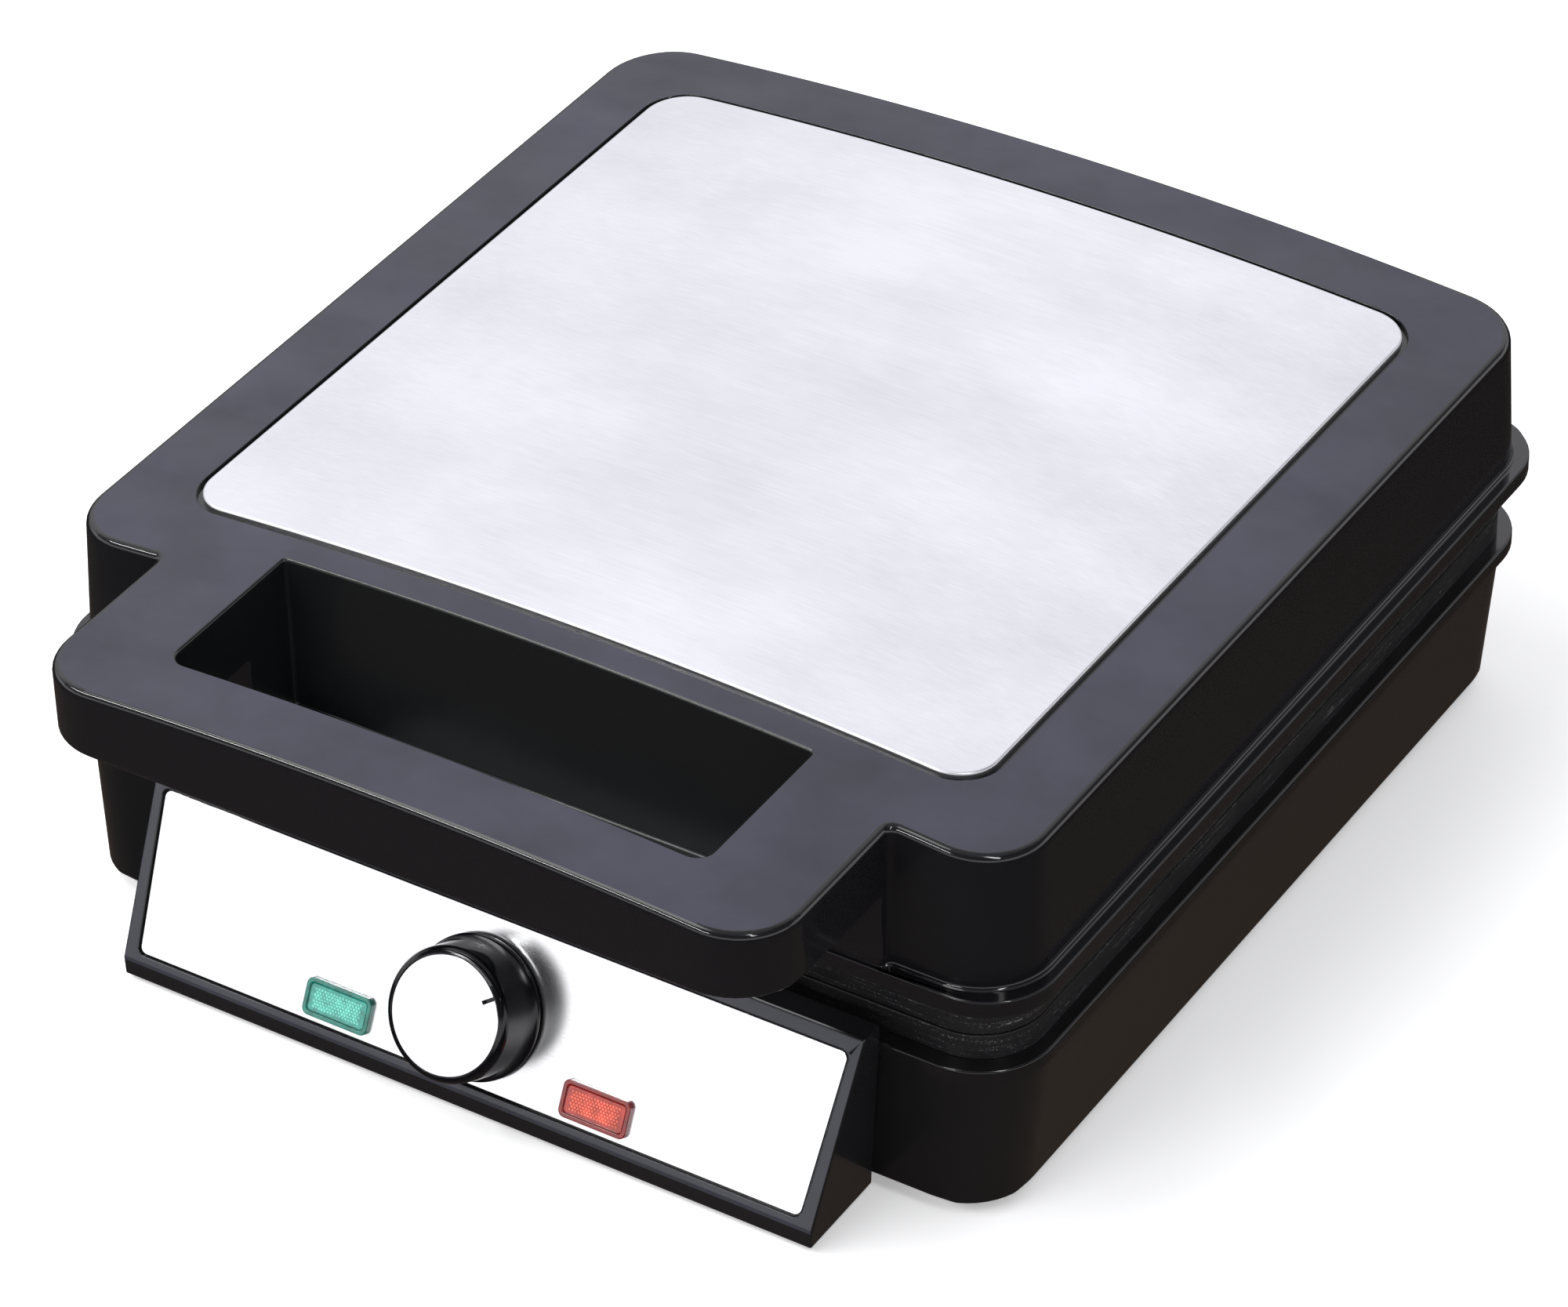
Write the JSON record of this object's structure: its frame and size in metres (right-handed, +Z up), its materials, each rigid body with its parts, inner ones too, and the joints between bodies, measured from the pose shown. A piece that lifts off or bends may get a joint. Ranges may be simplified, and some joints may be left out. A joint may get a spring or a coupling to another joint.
{
  "type": "waffle maker",
  "caption": "Rectangular waffle maker with a sloping control panel, a crowned lid that swings up on rear hinges, a loop handle and grid plates inside.",
  "frame": {"origin": "on the table, under the middle of the overall box", "axes": "+Z up, -Y towards the user at the control panel and handle, +Y towards the hinges, +X to the right as seen from the front"},
  "size_m": [0.311, 0.369, 0.1247],
  "materials": {
    "gloss_black": "high gloss moulding",
    "lid_satin": "satin top, gloss walls",
    "panel_satin": "satin moulding",
    "cover_grey": "fine matt texture",
    "top_steel": "fine brushed along its width",
    "fascia_steel": "fine brushed",
    "cap_steel": "satin",
    "cast_coated": "dark non-stick coating",
    "knob_black": "gloss",
    "lens_green": "clear tinted",
    "lens_red": "clear tinted",
    "lamp_glass": "clear",
    "zinc": "zinc plated",
    "rubber": "matt",
    "brass": "plain",
    "copper": "plain copper",
    "element_sheath": "heat-dulled sheath",
    "tray_sheet": "plain aluminised sheet",
    "ceramic": "matt",
    "lead_sleeve": "woven glass sleeve"
  },
  "bodies": {
    "base": {"base_shell": "gloss_black", "bottom_cover": "cover_grey", "cover_screws": "zinc", "rubber_feet": "rubber", "control_housing": "panel_satin", "housing_screws": "zinc", "control_plate": "fascia_steel", "green_lens": "lens_green", "red_lens": "lens_red", "neon_lamps": "lamp_glass", "thermostat_body": "zinc", "thermostat_nut": "brass", "sensor_bulb": "copper", "lower_waffle_plate": "cast_coated", "lower_plate_screws": "zinc", "lower_element": "element_sheath", "lower_reflector": "tray_sheet", "thermal_fuse": "ceramic", "terminal_block": "ceramic", "terminal_screws": "brass", "cord_gland": "rubber", "cord_clamp": "ceramic", "clamp_screws": "zinc", "lower_leads": "lead_sleeve", "hinge_pins": "zinc"},
    "lid": {"lid_shell": "lid_satin", "top_plate": "top_steel", "handle_cover": "cover_grey", "handle_screws": "zinc", "upper_waffle_plate": "cast_coated", "upper_plate_screws": "zinc", "upper_element": "element_sheath", "upper_reflector": "tray_sheet", "upper_leads": "lead_sleeve"},
    "knob": {"knob": "knob_black", "knob_cap": "cap_steel", "thermostat_shaft": "zinc"}
  },
  "joints": [
    {"name": "lid_hinge", "type": "hinge", "parent": "base", "child": "lid", "pos_m": [0, 0.1785, 0.0578], "axis": [-1, 0, 0], "range_deg": [0, 100]},
    {"name": "knob_turn", "type": "hinge", "parent": "base", "child": "knob", "pos_m": [0, -0.1484, 0.02878], "axis": [0, -0.891, 0.454], "range_deg": [-80, 190]}
  ]
}
